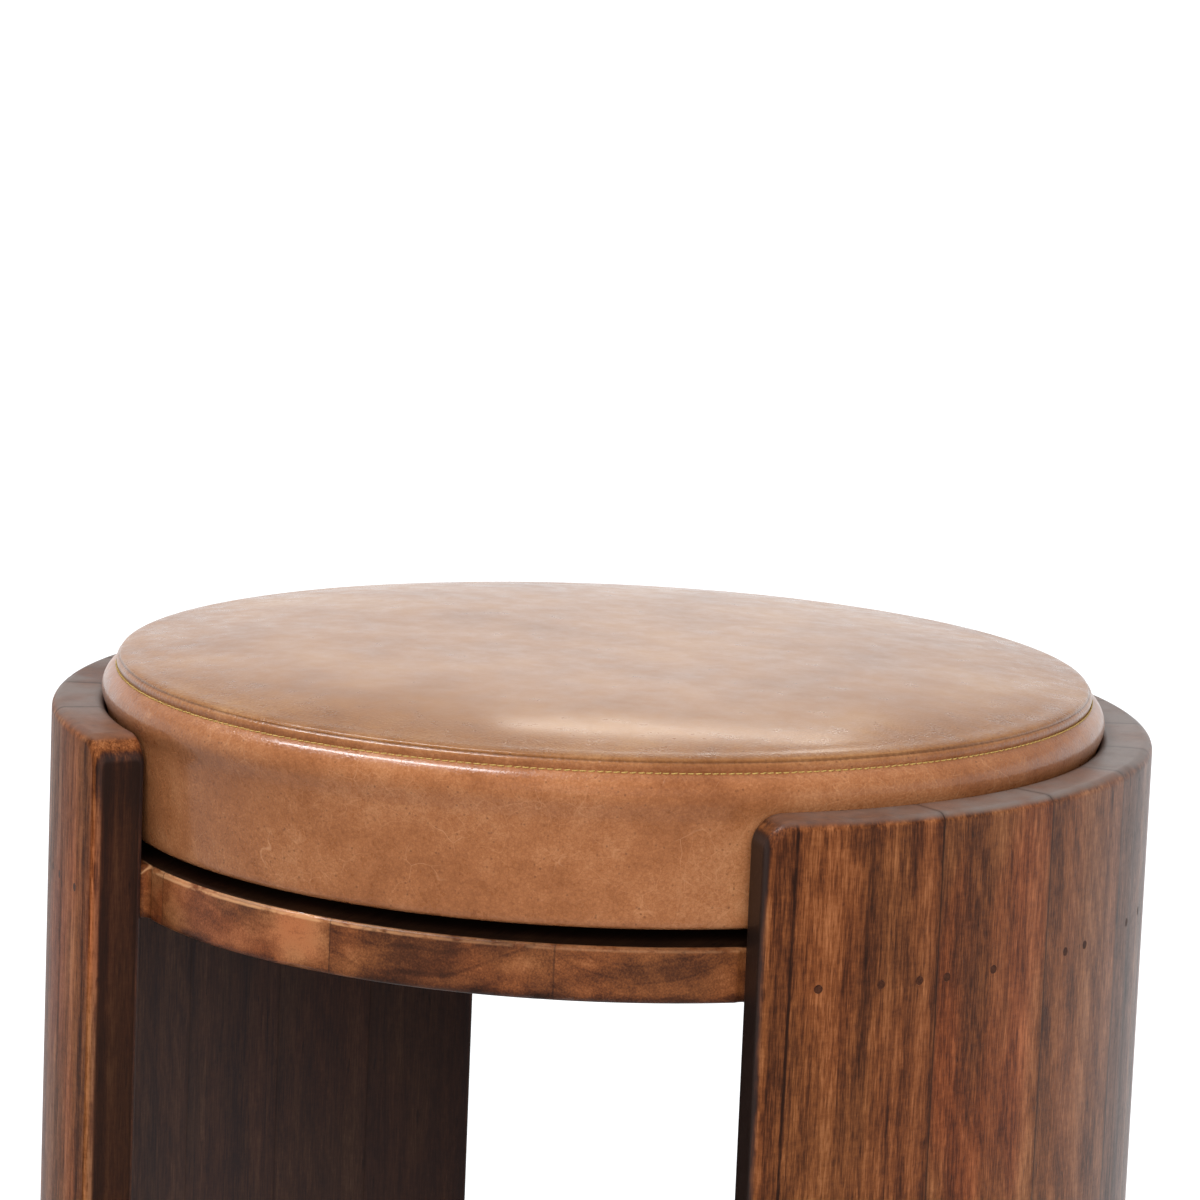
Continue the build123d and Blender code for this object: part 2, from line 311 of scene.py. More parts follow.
def grey_and_shade_stave(shade, colour, gaps, on_end, on_top, inside, y):
    """A greyed end face, a painted reflection on the top, and painted shade inside, darker to the back.
    """
    colour = shade.mix(shade.times(on_end, 0.30), colour, END_FACE_GREY)
    # Painted reflection: the flat top is mixed towards pale grey where the backdrop reflects at a grazing
    # angle, less near the front end
    top_reflection = shade.step(shade.field(26.0, 3.0, 0.6), 0.36, 0.62, 0.36, 0.76)
    top_reflection = shade.times(top_reflection, shade.step(gaps["front"], 0.010, 0.090, 0.40, 1.0))
    colour = shade.mix(shade.times(on_top, top_reflection), colour, TOP_REFLECTION_GREY)
    # Painted shade inside: a dark mix with a painted bluish sheen, and darker to the back
    shaded_inside = shade.tint(shade.mix(0.66, colour, INSIDE_SHADE), INSIDE_SHEEN_TINT)
    shaded_inside = shade.mix(shade.step(y, 0.0, 0.17, 0.0, 0.62), shaded_inside, DARK)
    return shade.mix(inside, colour, shaded_inside)


def stave_wood(name, start, end, seed, specular, look, front_line):
    """The wood of one stave: grain up the wall, dark glue lines at its edges and worn arrises."""
    lift, redness, figure, streaks, bands = look
    shade = Shade(name, specular=specular)
    x, y, z = shade.axes()
    radius = shade.length(x, y)
    arc = shade.times(shade.math("ARCTAN2", y, shade.math("ABSOLUTE", x)), OUTER_RADIUS)
    # The arc is the same on both walls, so the side's sign moves their grain apart
    apart = shade.plus(arc, shade.times(shade.math("SIGN", x), 0.9))
    tone, relief, patches = wood_grain(shade, apart, radius, z, seed, figure, streaks)
    tone = shade.plus(tone, lift)
    # Broad bands of lighter and darker wood, by their place across the stave
    width = arc_length(end - start)
    across = shade.plus(arc, shade.times(shade.swing(shade.field((0.0, 0.0, 11.0))), 0.006))
    for place, reach, change in bands:
        band = shade.hill(across, arc_length(start) + place * width, reach * width)
        tone = shade.plus(tone, shade.times(band, change))
    gaps = wall_faces(shade, arc, radius, z)
    breaks = shade.field((230.0, 230.0, 50.0), 3.0, 0.6)
    tone = mark_stave_arrises(shade, tone, gaps, breaks)
    on_end = shade.step(gaps["end"], 0.0024, 0.0006)
    if front_line:
        tone = mark_front_end(shade, tone, gaps, on_end)
    else:
        tone = streak_end(shade, tone, gaps, on_end, breaks)
    # The top is smooth end grain, without the streaks of the sides
    on_top = shade.step(gaps["top"], 0.0026, 0.0004)
    end_grain = shade.plus(shade.times(shade.swing(breaks), 0.40), 0.42 + lift)
    tone = shade.between(on_top, tone, end_grain)
    inside = shade.step(gaps["inside"], 0.0016, 0.0003)
    colour = wood_colour(shade, tone, patches, redness)
    colour = grey_and_shade_stave(shade, colour, gaps, on_end, on_top, inside, y)
    # Glue lines against the next staves, fainter inside
    outside = shade.minus(1.0, shade.times(inside, 0.7))
    for edge in (start, end):
        gap = shade.math("ABSOLUTE", shade.minus(arc, arc_length(edge)))
        glue = shade.times(shade.step(gap, 0.00050, 0.00010), outside)
        near = shade.times(shade.step(gap, 0.0030, 0.0), outside)
        colour = shade.mix(shade.times(near, 0.28), colour, GLUE)
        colour = shade.mix(shade.times(glue, 0.75), colour, GLUE)
    roughness = shade.plus(shade.step(tone, 0.0, 1.0, 0.40, 0.30), shade.times(inside, 0.20))
    return shade.finish(colour, roughness, relief, relief=0.00008, strength=0.45)


def rim_end_grain(shade, x, z, seed, pith):
    """The tone of a plank's end grain, with faint growth rings round a pith outside the plank."""
    reach = shade.length(shade.minus(x, pith[0]), shade.minus(z, pith[1]))
    reach = shade.plus(reach, shade.times(shade.field((28.0, 5.0, 28.0)), 0.016))
    ring = shade.noise(shade.vector(shade.times(reach, 330.0), seed * 1.7, 0.0), 2.0, 0.6)
    grain_dots = shade.swing(shade.field(1300.0, 3.0, 0.65))
    blotch = shade.swing(shade.field((52.0, 52.0, 95.0), 3.0, 0.6))
    tone = shade.plus(shade.times(grain_dots, 0.80), shade.times(blotch, 1.05))
    return shade.plus(shade.minus(tone, shade.times(shade.step(ring, 0.50, 0.72), 0.13)), 0.44)


def plank_wood(name, left, right, seed, look):
    """The wood of one plank: grain from front to back, growth rings on the end grain of the rim."""
    lift, redness, pith, stains = look
    shade = Shade(name, specular=0.34)
    x, y, z = shade.axes()
    tone, relief, patches = wood_grain(shade, x, z, y, seed, streaks=0.5)
    from_rim = shade.minus(RIM_RADIUS, shade.length(x, y))
    on_rim = shade.step(from_rim, 0.0022, 0.0010)
    tone = shade.between(on_rim, tone, rim_end_grain(shade, x, z, seed, pith))
    tone = shade.plus(tone, lift)
    wavering = shade.plus(x, shade.times(shade.swing(shade.field(60.0)), 0.030))
    for place, width, change in stains:
        tone = shade.plus(tone, shade.times(shade.hill(wavering, place, width), change))
    # Worn arrises: pale and broken along the top of the rim. Painted shade: dark along its foot
    from_top = shade.minus(BOARD_TOP, z)
    from_foot = shade.minus(z, BOARD_BOTTOM)
    breaks = shade.field((120.0, 120.0, 300.0), 3.0, 0.6)
    top_arris = shade.hill(shade.plus(from_top, from_rim), 0.0015, 0.0008)
    top_arris = shade.times(top_arris, shade.step(breaks, 0.34, 0.52))
    top_arris = shade.times(top_arris, shade.step(x, -0.060, 0.060, 1.0, 0.25))
    foot_shade = shade.step(shade.plus(from_foot, from_rim), 0.0046, 0.0012)
    tone = shade.minus(tone, shade.times(foot_shade, 0.26))
    colour = wood_colour(shade, tone, patches, redness)
    colour = shade.mix(shade.times(top_arris, 0.80), colour, WORN_PALE)
    # Painted shadow: the board's top under the pad's edge is darkened almost to black
    under_pad_shadow = shade.times(shade.step(from_top, 0.0008, 0.0002), shade.step(from_rim, 0.0012, 0.0020))
    colour = shade.mix(shade.times(under_pad_shadow, 0.92), colour, UNDER_PAD_SHADOW)
    for edge in (left, right):
        gap = shade.math("ABSOLUTE", shade.minus(x, edge))
        colour = shade.mix(shade.step(gap, 0.0005, 0.0001, 0.0, 0.50), colour, GLUE)
    roughness = shade.step(tone, 0.0, 1.0, 0.42, 0.32)
    return shade.finish(colour, roughness, relief, relief=0.00007, strength=0.45)


# Staves from front to back: lift of tone, redness, slanted figure, dark streaks, and bands as
# (share of the width, reach as a share, change of tone)
RIGHT_LOOKS = (
    (0.00, 0.30, 0.00, 1.15, (
        (0.38, 0.11, 0.13), (0.57, 0.07, -0.17), (0.70, 0.06, 0.06), (0.82, 0.04, -0.10),
        (0.92, 0.06, 0.19))),
    (0.07, 0.80, 0.50, 0.80, ((0.28, 0.26, -0.12), (0.88, 0.14, 0.14))),
    (0.08, 0.20, 0.65, 0.70, ((0.10, 0.12, -0.10), (0.50, 0.22, 0.10), (0.78, 0.06, -0.12))),
    (-0.05, 0.10, 0.20, 1.10, ((0.40, 0.10, -0.12), (0.70, 0.10, 0.10))),
    (0.04, 0.60, 0.30, 0.80, ((0.30, 0.15, -0.10), (0.80, 0.12, 0.10))),
    (-0.05, 0.40, 0.00, 1.20, ((0.50, 0.10, 0.12), (0.80, 0.06, -0.12))),
    (0.03, 0.50, 0.35, 0.90, ((0.20, 0.10, -0.10), (0.60, 0.15, 0.10))),
)
LEFT_LOOKS = (
    (0.10, 0.80, 0.00, 1.10, ((0.16, 0.05, -0.24), (0.34, 0.08, 0.12), (0.62, 0.06, -0.14))),
    (0.05, 0.35, 0.35, 0.80, ((0.50, 0.10, -0.10), (0.80, 0.10, 0.10))),
    (-0.04, 0.65, 0.00, 1.10, ((0.30, 0.15, 0.10), (0.70, 0.08, -0.14))),
    (0.06, 0.30, 0.45, 0.70, ((0.40, 0.12, -0.10), (0.80, 0.12, 0.08))),
    (0.00, 0.50, 0.10, 1.20, ((0.20, 0.10, 0.10), (0.60, 0.12, -0.12))),
    (0.04, 0.60, 0.40, 0.80, ((0.50, 0.20, -0.08), (0.85, 0.10, 0.12))),
    (-0.03, 0.30, 0.00, 1.20, ((0.30, 0.10, 0.12), (0.70, 0.08, -0.16))),
)
# Walls: the shares and looks of their staves, the seed of the first, and their specular level
WALLS = {
    "right": (RIGHT_SHARES, RIGHT_LOOKS, 1, 0.13),
    "left": (LEFT_SHARES, LEFT_LOOKS, 11, 0.012),
}
# Planks from left to right: lift of tone, redness, the pith's place across and in height, and
# stains on the rim as (place, half width, change of tone)
PLANK_LOOKS = (
    (0.29, 1.00, (-0.150, 0.300), ((-0.131, 0.015, -0.18),)),
    (0.22, 0.60, (-0.060, 0.500), ((-0.108, 0.010, 0.12), (-0.042, 0.017, 0.38))),
    (0.05, 0.30, (0.000, 0.470), ((-0.018, 0.016, 0.16), (0.020, 0.030, -0.06), (0.054, 0.008, 0.10))),
    (0.11, 0.25, (0.098, 0.425), ((0.090, 0.020, -0.06),)),
    (0.02, 0.55, (0.190, 0.300), ()),
)
FIRST_PLANK_SEED = 31


def stave_edges(shares):
    """The angles between which the staves lie, counted from the front."""
    edges = [FRONT_ANGLE]
    for share in shares:
        edges.append(edges[-1] + (BACK_ANGLE - FRONT_ANGLE) * share / sum(shares))
    return edges


def dress(node, material):
    """Gives a carried CAD node its finished material."""
    slots = nodes[node].data.materials
    slots.clear()
    slots.append(material)


def dress_wood():
    for side, (shares, looks, first_seed, specular) in WALLS.items():
        edges = stave_edges(shares)
        for index, look in enumerate(looks):
            name = f"{side}_stave_{index + 1}"
            front_line = side == "right" and index == 0
            ends = edges[index], edges[index + 1]
            dress(name, stave_wood(name + "_wood", *ends, first_seed + index, specular, look, front_line))
    for index, look in enumerate(PLANK_LOOKS):
        name = f"seat_plank_{index + 1}"
        ends = PLANK_EDGES[index], PLANK_EDGES[index + 1]
        dress(name, plank_wood(name + "_wood", *ends, FIRST_PLANK_SEED + index, look))


dress_wood()


# Small hidden or dark pieces: the material's name, its dark and light tone, roughness, fineness,
# metallic share, depth of relief and specular level, and the nodes that have it
PLAIN_FINISHES = (
    ("dark_putty_fill", (0.026, 0.009, 0.005), (0.068, 0.024, 0.012), 0.5, 900.0, 0.0, 0.0001, 0.1,
     ("right_nail_filler", "left_nail_filler")),
    ("plain_steel", (0.30, 0.29, 0.28), (0.52, 0.51, 0.50), 0.30, 400.0, 1.0, 0.00002, 0.4,
     ("right_board_nails", "left_board_nails")),
    ("zinc_steel", (0.42, 0.40, 0.34), (0.62, 0.59, 0.52), 0.32, 300.0, 1.0, 0.00002, 0.4,
     ("hem_staples", "pad_screws")),
    ("glide_plastic_moulded", (0.020, 0.016, 0.015), (0.045, 0.038, 0.034), 0.45, 500.0, 0.0, 0.0001, 0.4,
     ("right_floor_glides", "left_floor_glides")),
    # The riser's near-black stain is also painted shade: it shows only in the shadow gap under the pad
    ("riser_black_stain", (0.004, 0.003, 0.003), (0.016, 0.010, 0.008), 0.75, (60.0, 8.0, 300.0), 0.0,
     0.0001, 0.1, ("pad_riser",)),
    ("base_plywood", (0.30, 0.18, 0.09), (0.52, 0.36, 0.21), 0.6, (14.0, 90.0, 620.0), 0.0, 0.0001, 0.4,
     ("pad_base",)),
)


def plain_finish(name, dark, light, roughness, fineness, metallic, relief, specular):
    """A finish that varies between two close tones, with a fine relief of the same grain."""
    shade = Shade(name, specular=specular)
    grain = shade.field(fineness, 4.0, 0.6)
    shade.shader.inputs["Metallic"].default_value = metallic
    colour = shade.ramp(grain, [(0.30, dark), (0.70, light)])
    roughness = shade.step(grain, 0.2, 0.8, roughness, roughness + 0.12)
    return shade.finish(colour, roughness, grain, relief, strength=0.5)


for *finish, dressed in PLAIN_FINISHES:
    material = plain_finish(*finish)
    for node in dressed:
        dress(node, material)


# Leather colours, the heights between which the shoulder passes into the polished crown, and the
# number of stitches, which the puckers follow
LEATHER_DEEP = (0.162, 0.0540, 0.0190)
LEATHER_MID = (0.276, 0.1060, 0.0410)
LEATHER_PALE = (0.400, 0.1850, 0.0840)
CROWN_TINT = (0.84, 0.96, 0.86)
CREASE = (0.140, 0.044, 0.016)
PORE = (0.075, 0.024, 0.010)
VEIN = (0.50, 0.26, 0.135)
HAIRLINE = (0.48, 0.24, 0.120)
SEAM_FOLD = (0.050, 0.018, 0.009)
SHOULDER_LEVEL = 0.4440
CROWN_LEVEL = 0.4490
STITCH_COUNT = 404


def leather_scratches(shade, below_seam, clouds):
    """Light veins and finer hairlines below the seam, broken up."""
    inputs = {"Vector": shade.place, "Scale": 22.0, "Detail": 3.0}
    bend = shade.add("ShaderNodeTexNoise", inputs, output="Color")
    bent = shade.combine("ADD", shade.combine("MULTIPLY", bend, (0.035, 0.035, 0.035)), shade.place)
    veins = shade.cells(bent, 58.0, "DISTANCE_TO_EDGE")
    hairs = shade.cells(shade.combine("ADD", bent, (0.4, 0.1, 0.7)), 105.0, "DISTANCE_TO_EDGE")
    broken = shade.times(shade.step(shade.field(40.0, 3.0, 0.6), 0.50, 0.68), below_seam)
    clouded = shade.times(below_seam, shade.step(clouds, -0.06, 0.10))
    vein = shade.times(shade.step(veins, 0.012, 0.002), broken)
    hairline = shade.times(shade.step(hairs, 0.018, 0.004), clouded)
    return vein, hairline


def leather_seam(shade, x, y, z):
    """The seam's thin broken fold, and the puckers beside it and beside the stitches."""
    outer = shade.step(shade.length(x, y), 0.1940, 0.1965)
    from_seam = shade.math("ABSOLUTE", shade.minus(z, SEAM_LEVEL))
    waves = shade.math("SINE", shade.times(shade.math("ARCTAN2", y, x), float(STITCH_COUNT)))
    teeth = shade.times(shade.plus(waves, 1.0), 0.5)
    fold_width = shade.plus(0.00022, shade.times(shade.times(teeth, shade.field(150.0)), 0.00075))
    fold = shade.times(shade.step(from_seam, fold_width, 0.0), outer)
    near_stitch = shade.times(shade.hill(z, SEAM_LEVEL - 0.0018, 0.0060), outer)
    return fold, shade.times(waves, shade.times(near_stitch, 0.35))


def leather():
    shade = Shade("tan_leather", specular=0.22)
    x, y, z = shade.axes()
    clouds = shade.swing(shade.field((16.0, 16.0, 20.0), 3.0, 0.6))
    mottle = shade.swing(shade.field(85.0, 4.0, 0.7))
    speckle = shade.swing(shade.field(620.0, 3.0, 0.7))
    # The grain shows on the side and the shoulder, and fades on the polished crown
    grain_share = shade.step(z, CROWN_LEVEL, SHOULDER_LEVEL)
    speckle = shade.times(speckle, shade.plus(0.10, shade.times(grain_share, 0.90)))
    mottle = shade.times(mottle, shade.plus(0.50, shade.times(grain_share, 0.50)))
    tone = 0.50
    for part, weight in ((clouds, 0.70), (mottle, 0.50), (speckle, 0.50)):
        tone = shade.plus(shade.times(part, weight), tone)
    colour = shade.ramp(tone, [(0.22, LEATHER_DEEP), (0.52, LEATHER_MID), (0.84, LEATHER_PALE)])
    below_seam = shade.step(z, SEAM_LEVEL + 0.0015, SEAM_LEVEL - 0.0030)
    colour = shade.mix(shade.minus(1.0, below_seam), colour, shade.tint(colour, CROWN_TINT))
    # Grain: small pebbles with darker creases, and scattered darker pores
    pebbles = shade.cells(shade.place, 760.0)
    creases = shade.step(shade.cells(shade.place, 760.0, "DISTANCE_TO_EDGE"), 0.12, 0.0, 0.0, 0.34)
    pores = shade.step(shade.cells(shade.place, 400.0), 0.26, 0.10)
    pores = shade.times(pores, shade.step(mottle, -0.06, 0.12))
    vein, hairline = leather_scratches(shade, below_seam, clouds)
    fold, puckers = leather_seam(shade, x, y, z)
    marks = (
        (shade.times(grain_share, creases), CREASE),
        (shade.times(pores, shade.times(grain_share, 0.60)), PORE),
        (shade.times(vein, 0.40), VEIN),
        (shade.times(hairline, 0.25), HAIRLINE),
        (shade.times(fold, 0.45), SEAM_FOLD),
    )
    for share, mark_colour in marks:
        colour = shade.mix(share, colour, mark_colour)
    relief = shade.plus(shade.times(shade.step(pebbles, 0.0, 0.7), -0.8), shade.times(speckle, 1.1))
    relief = shade.times(shade.plus(relief, shade.times(mottle, 2.4)), grain_share)
    relief = shade.minus(shade.plus(relief, puckers), shade.times(vein, 0.5))
    roughness = shade.plus(shade.step(mottle, -0.20, 0.20, 0.24, 0.42), shade.times(vein, 0.10))
    shade.shader.inputs["Coat Weight"].default_value = 0.32
    shade.shader.inputs["Coat Roughness"].default_value = 0.13
    return shade.finish(colour, roughness, relief, relief=0.00016, strength=0.60)


# Soft pieces: profiles as radius and height in millimetres. The pad's cover goes from the hem's
# raw edge up the side, round the roll that bulges over the wall, along the stitches and the seam,
# and up to the crown
COVER_PROFILE = (
    (174.0, 376.85), (182.0, 376.85), (190.0, 376.85), (194.5, 377.0), (197.0, 377.8), (198.3, 379.3),
    (198.9, 382.0), (199.4, 388.0), (200.0, 396.0), (200.6, 404.0), (201.2, 411.0), (201.9, 416.5),
    (202.5, 420.0), (203.6, 423.2), (204.7, 426.2), (205.1, 429.0), (204.6, 431.8), (203.2, 434.4),
    (201.4, 436.3), (199.9, 437.3), (199.0, 437.7), (199.2, 438.4), (199.4, 439.5), (199.2, 440.6),
    (198.5, 441.3), (198.1, 441.6), (198.1, 442.2), (197.3, 442.9), (194.5, 443.5), (190.0, 444.0),
    (184.0, 444.8), (175.0, 445.8), (163.0, 446.9), (148.0, 448.0), (130.0, 449.0), (108.0, 449.8),
    (82.0, 450.3), (45.0, 450.5), (20.0, 450.5), (0, 450.5),
)
FILLING_PROFILE = (
    (0, 390.7), (120.0, 390.7), (188.0, 390.8), (195.4, 391.4), (197.0, 395.0), (198.0, 403.0),
    (198.8, 411.0), (199.5, 416.5), (200.4, 420.0), (201.8, 423.8), (202.7, 427.2), (202.8, 429.6),
    (201.9, 432.0), (200.0, 434.2), (197.6, 435.6), (196.8, 437.6), (196.6, 440.0), (195.2, 441.2),
    (190.0, 441.9), (175.0, 443.7), (148.0, 445.9), (108.0, 447.7), (60.0, 448.4), (0, 448.5),
)
CLOTH_PROFILE = (
    (180.9, 376.55), (177.0, 376.45), (172.0, 376.3), (160.0, 376.2), (120.0, 376.2), (60.0, 376.2),
    (0, 376.2),
)
COVER_SEGMENTS = 720
FILLING_SEGMENTS = 96
CLOTH_SEGMENTS = 180
COVER_THICKNESS = 0.0014
CLOTH_THICKNESS = 0.0003
# Swells of the cover: how many go round, where they begin, and their height in millimetres
SWELLS = ((3, 0.7, 0.22), (7, 2.1, 0.10), (13, 0.0, 0.06))


def new_piece(name, mesh, material):
    piece = bpy.data.objects.new(name, mesh)
    bpy.context.scene.collection.objects.link(piece)
    mesh.materials.append(material)
    for polygon in mesh.polygons:
        polygon.use_smooth = True
    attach(piece, "root")
    return piece


def thicken(piece, thickness):
    """Gives a piece that is drawn by its outer face this thickness inwards."""
    solid = piece.modifiers.new("thickness", "SOLIDIFY")
    solid.thickness = thickness
    solid.offset = -1


def in_metres(profile):
    return [(radius * MM, height * MM) for radius, height in profile]


def turned_mesh(name, profile, segments, shape=None):
    """A profile of (radius, height) turned about the axis. A radius of 0 becomes one pole point."""
    mesh = bpy.data.meshes.new(name)
    bm = bmesh.new()
    rings = []
    for radius, height in profile:
        if radius == 0:
            rings.append([bm.verts.new((0, 0, height))])
            continue
        ring = []
        for index in range(segments):
            turn = 2 * math.pi * index / segments
            far, high = shape(radius, height, turn) if shape else (radius, height)
            ring.append(bm.verts.new((far * math.cos(turn), far * math.sin(turn), high)))
        rings.append(ring)
    for first, second in zip(rings, rings[1:]):
        for index in range(segments):
            after = (index + 1) % segments
            corners = [first[index % len(first)], first[after % len(first)]]
            corners += [second[after % len(second)], second[index % len(second)]]
            # At a pole two corners are the same point
            bm.faces.new(list(dict.fromkeys(corners)))
    bmesh.ops.recalc_face_normals(bm, faces=bm.faces)
    bm.to_mesh(mesh)
    bm.free()
    return mesh


def cover_shape(radius, height, turn):
    """Small uneven swells, so that the pad is not a perfect turning."""
    swell = sum(math.sin(count * turn + start) * size for count, start, size in SWELLS) * MM
    if height > SEAM_LEVEL + 0.0006:
        # None at the seam and at the crown's middle
        share = min(1.0, (0.1981 - radius) / 0.020, radius / 0.130)
        return radius, height + swell * share
    if height > PAD_BOTTOM + 0.002:
        return radius + swell * 0.9, height
    return radius, height


def smooth_line(points, parts):
    """More points on a smooth line through the given ones."""
    line = []
    last = len(points) - 1
    for index in range(last):
        near = [Vector(points[min(max(index + step, 0), last)]) for step in (-1, 0, 1, 2)]
        before, start, end, after = near
        for part in range(parts):
            t = part / parts
            bend = 2 * start + (end - before) * t + (2 * before - 5 * start + 4 * end - after) * t ** 2
            line.append(tuple((bend + (3 * start - before - 3 * end + after) * t ** 3) / 2))
    return line + [points[-1]]


def make_cover():
    profile = in_metres(smooth_line(COVER_PROFILE, 3))
    mesh = turned_mesh("pad_cover", profile, COVER_SEGMENTS, cover_shape)
    cover = new_piece("pad_cover", mesh, leather())
    thicken(cover, COVER_THICKNESS)
    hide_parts("leather_top", "leather_band")


def make_filling():
    shade = Shade("wadding_fibres", roughness=0.9, specular=0.2)
    fibres = shade.field(160.0, 5.0, 0.7, 1.5)
    colour = shade.ramp(fibres, [(0.3, (0.62, 0.62, 0.60)), (0.7, (0.86, 0.86, 0.84))])
    material = shade.finish(colour, height=fibres, relief=0.0006, strength=0.7)
    mesh = turned_mesh("pad_filling", in_metres(FILLING_PROFILE), FILLING_SEGMENTS)
    filling = new_piece("pad_filling", mesh, material)
    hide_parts("foam_core", "wadding_wrap")


def make_dust_cloth():
    shade = Shade("black_dust_cloth", roughness=0.95, specular=0.1)
    weave = shade.field(700.0, 3.0, 0.7)
    colour = shade.ramp(weave, [(0.3, (0.006, 0.006, 0.007)), (0.7, (0.024, 0.023, 0.024))])
    material = shade.finish(colour, height=weave, relief=0.0002, strength=0.6)
    mesh = turned_mesh("dust_cloth", in_metres(CLOTH_PROFILE), CLOTH_SEGMENTS)
    cloth_piece = new_piece("dust_cloth", mesh, material)
    thicken(cloth_piece, CLOTH_THICKNESS)
    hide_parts("dust_cover")


# Top-stitching
STITCH_RADIUS = 0.19925
STITCH_LEVEL = 0.43765
THREAD_RADIUS = 0.00027
THREAD_CORNERS = 6
# Rings along one stitch: place as a share of the pitch, rise over the leather, share of the width
STITCH_RINGS = (
    (-0.44, -0.00045, 0.5), (-0.34, 0.00010, 0.9), (-0.12, 0.00030, 1.0),
    (0.12, 0.00030, 1.0), (0.34, 0.00010, 0.9), (0.44, -0.00045, 0.5),
)


def thread_ring(bm, turn, rise, lift, width):
    """One ring of points round the thread, at this turn about the pad."""
    far, level = cover_shape(STITCH_RADIUS + rise, STITCH_LEVEL + lift, turn)
    outward = Vector((math.cos(turn), math.sin(turn), 0))
    upward = Vector((0, 0, 1))
    ring = []
    for corner in range(THREAD_CORNERS):
        lean = 2 * math.pi * corner / THREAD_CORNERS
        offset = (outward * math.cos(lean) + upward * math.sin(lean)) * THREAD_RADIUS * width
        ring.append(bm.verts.new(outward * far + upward * level + offset))
    return ring


def make_stitches():
    """One row of short bent threads that dip into the leather at both ends."""
    shade = Shade("stitching_thread", roughness=0.6, specular=0.3)
    twist = shade.field(2600.0)
    colour = shade.ramp(twist, [(0.3, (0.26, 0.16, 0.040)), (0.7, (0.56, 0.40, 0.13))])
    material = shade.finish(colour, height=twist, relief=0.0001, strength=0.5)
    mesh = bpy.data.meshes.new("top_stitching")
    bm = bmesh.new()
    pitch = 2 * math.pi / STITCH_COUNT
    for number in range(STITCH_COUNT):
        middle = (number + random.uniform(-0.05, 0.05)) * pitch
        tilt = random.uniform(0.00005, 0.00028)
        rings = [
            thread_ring(bm, middle + place * pitch, rise, place * tilt * 2, width)
            for place, rise, width in STITCH_RINGS
        ]
        for first, second in zip(rings, rings[1:]):
            for corner in range(THREAD_CORNERS):
                after = (corner + 1) % THREAD_CORNERS
                bm.faces.new((first[corner], first[after], second[after], second[corner]))
        bm.faces.new(rings[0][::-1])
        bm.faces.new(rings[-1])
    bmesh.ops.recalc_face_normals(bm, faces=bm.faces)
    bm.to_mesh(mesh)
    bm.free()
    new_piece("top_stitching", mesh, material)


make_cover()
make_filling()
make_dust_cloth()
make_stitches()


# Floor
FLOOR_REACH = 0.70
FLOOR_CORNERS = 96


def make_floor():
    """A round pale floor, too small for its far edge to show behind the stool."""
    mesh = bpy.data.meshes.new("studio_floor")
    turns = [2 * math.pi * corner / FLOOR_CORNERS for corner in range(FLOOR_CORNERS)]
    edge = [(FLOOR_REACH * math.cos(turn), FLOOR_REACH * math.sin(turn), 0) for turn in turns]
    mesh.from_pydata(edge, [], [list(range(FLOOR_CORNERS))])
    floor = bpy.data.objects.new("studio_floor", mesh)
    bpy.context.scene.collection.objects.link(floor)
    shade = Shade("pale_floor", roughness=0.8, specular=0.1)
    mesh.materials.append(shade.finish((0.95, 0.95, 0.95)))
    floor.visible_glossy = False


make_floor()


# Camera, at the photograph's angle
TURN = math.radians(22.4)
PITCH = math.radians(9.54)
ROLL = math.radians(2.36)
DISTANCE = 2.064
AIM = Vector((-0.00296, 0.0, WALL_TOP + 0.0447))
FOCAL_PIXELS = 5043.0
PHOTO_PIXELS = 1200.0
SENSOR = 36.0


def make_camera():
    data = bpy.data.cameras.new("camera")
    camera = bpy.data.objects.new("camera", data)
    bpy.context.scene.collection.objects.link(camera)
    data.sensor_width = SENSOR
    data.sensor_height = SENSOR
    data.lens = FOCAL_PIXELS / PHOTO_PIXELS * SENSOR
    forward = Vector((0, math.cos(PITCH), -math.sin(PITCH)))
    level_right = Vector((1, 0, 0))
    level_up = level_right.cross(forward)
    right = level_right * math.cos(ROLL) + level_up * math.sin(ROLL)
    up = level_up * math.cos(ROLL) - level_right * math.sin(ROLL)
    pose = Matrix((right, up, -forward)).transposed().to_4x4()
    pose.translation = AIM - forward * DISTANCE
    camera.matrix_world = Matrix.Rotation(TURN, 4, "Z") @ pose
    bpy.context.scene.camera = camera


make_camera()


# Light: a pale surround, brighter behind the stool, a window-like lamp from the upper left, one
# lamp behind that glints on the seat, a soft fill from the front and a soft light from overhead.
# Lamps: name, place, aim, width, height, power, colour, shown in reflections, spin in degrees
LAMPS = (
    ("window", (-0.865, -0.014, 2.11), (0, 0, 0.42), 0.22, 1.25, 34.0, (0.90, 0.95, 1.0), True, -45.0),
    ("glint", (0.10, 2.6, 1.48), (0, 0, 0.45), 0.45, 0.14, 1.0, (1.0, 0.94, 0.84), True, 0.0),
    ("fill", (0.0, -2.5, 1.5), (0, 0, 0.30), 2.2, 1.8, 104.0, (1.0, 0.98, 0.97), False, 0.0),
    ("overhead", (0.0, 0.9, 2.8), (0, 0.5, 0.0), 3.0, 2.4, 34.0, (1.0, 1.0, 1.0), False, 0.0),
)
SURROUND_COLOUR = (0.975, 0.985, 1.0, 1.0)
BRIGHT_SIDE = (0.35, 0.92, 0.18)
# Ranges as low and high input, and the strength at each
SIDE_STRENGTH = (-0.5, 0.6, 0.20, 1.26)
CEILING_STRENGTH = (0.20, 0.35, 1.0, 0.30)


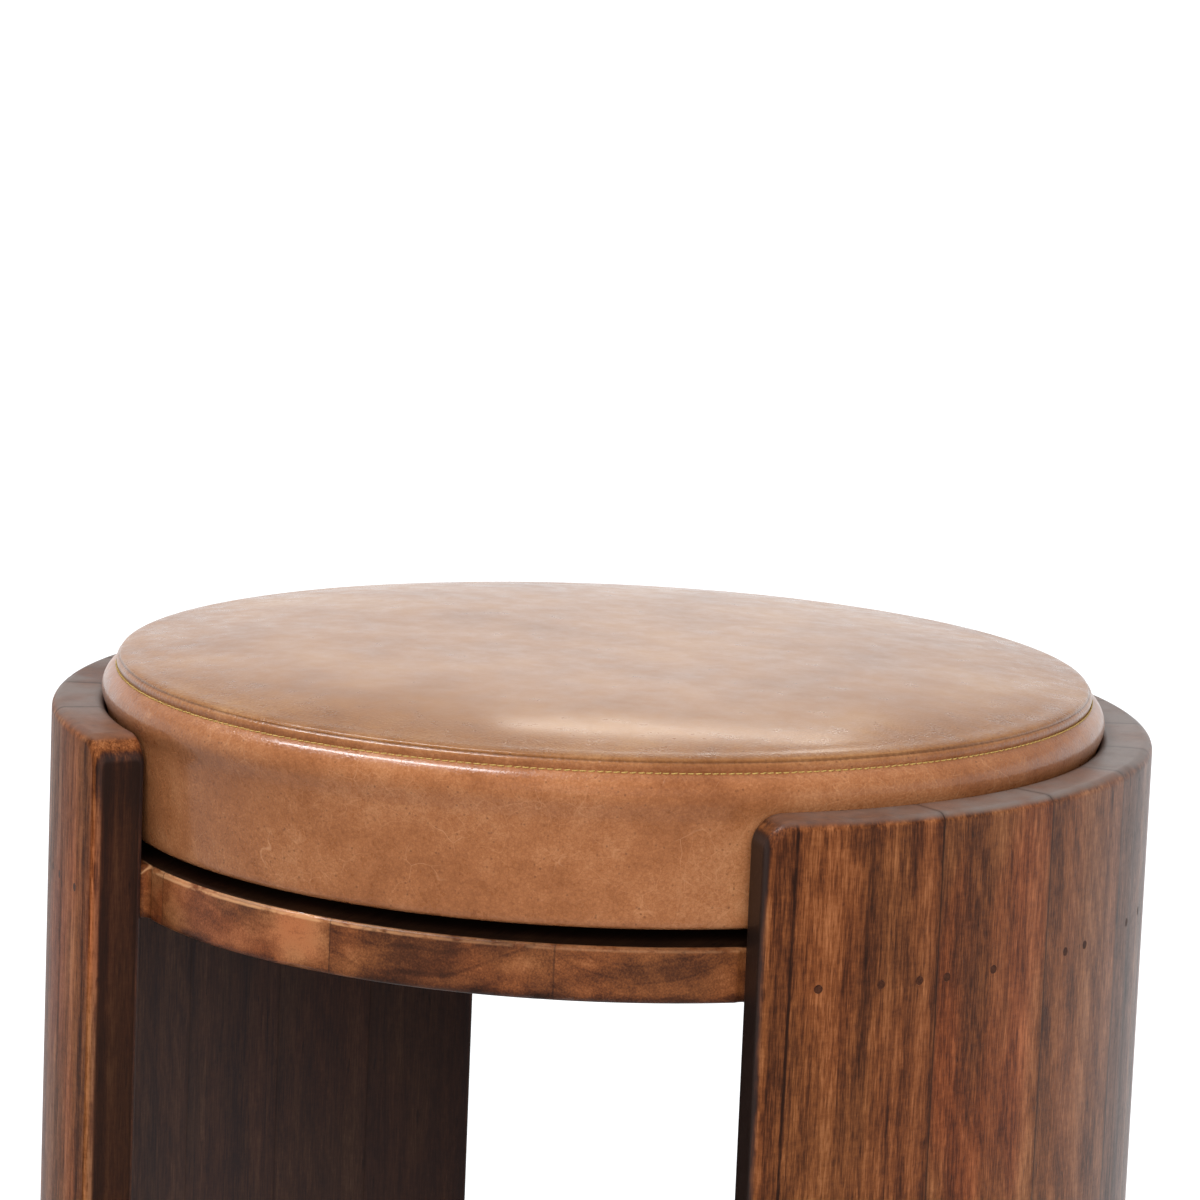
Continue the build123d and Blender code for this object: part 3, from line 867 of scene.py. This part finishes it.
def soft_lamp(name, place, aim, width, height, power, colour, reflected, spin):
    data = bpy.data.lights.new(name, "AREA")
    data.shape = "RECTANGLE"
    data.size = width
    data.size_y = height
    data.energy = power
    data.color = colour
    lamp = bpy.data.objects.new(name, data)
    bpy.context.scene.collection.objects.link(lamp)
    lamp.visible_glossy = reflected
    turned = Matrix.Rotation(TURN, 4, "Z")
    lamp.location = turned @ Vector(place)
    lamp.rotation_euler = (turned @ (Vector(aim) - Vector(place))).to_track_quat("-Z", "Y").to_euler()
    lamp.rotation_euler.rotate_axis("Z", math.radians(spin))


def strength_range(tree, value, limits, interpolation):
    """A strength that follows the value between the limits."""
    node = tree.nodes.new("ShaderNodeMapRange")
    node.interpolation_type = interpolation
    for key, limit in zip(("From Min", "From Max", "To Min", "To Max"), limits):
        node.inputs[key].default_value = limit
    tree.links.new(value, node.inputs["Value"])
    return node.outputs[0]


def make_surround():
    world = bpy.data.worlds.new("surround")
    bpy.context.scene.world = world
    world.use_nodes = True
    tree = world.node_tree
    background = tree.nodes["Background"]
    direction = tree.nodes.new("ShaderNodeTexCoord").outputs["Generated"]
    facing = tree.nodes.new("ShaderNodeVectorMath")
    facing.operation = "DOT_PRODUCT"
    facing.inputs[1].default_value = Matrix.Rotation(TURN, 3, "Z") @ Vector(BRIGHT_SIDE)
    tree.links.new(direction, facing.inputs[0])
    # Darker high up, so that the backdrop's reflection ends at the seat's front shoulder
    height = tree.nodes.new("ShaderNodeSeparateXYZ")
    tree.links.new(direction, height.inputs[0])
    strength = tree.nodes.new("ShaderNodeMath")
    strength.operation = "MULTIPLY"
    side = strength_range(tree, facing.outputs["Value"], SIDE_STRENGTH, "LINEAR")
    ceiling = strength_range(tree, height.outputs["Z"], CEILING_STRENGTH, "SMOOTHSTEP")
    tree.links.new(side, strength.inputs[0])
    tree.links.new(ceiling, strength.inputs[1])
    background.inputs["Color"].default_value = SURROUND_COLOUR
    tree.links.new(strength.outputs[0], background.inputs["Strength"])


make_surround()
for lamp in LAMPS:
    soft_lamp(*lamp)

scene = bpy.context.scene
scene.view_settings.view_transform = "Standard"
scene.view_settings.look = "None"
scene.view_settings.exposure = 0.0
scene.view_settings.gamma = 1.0
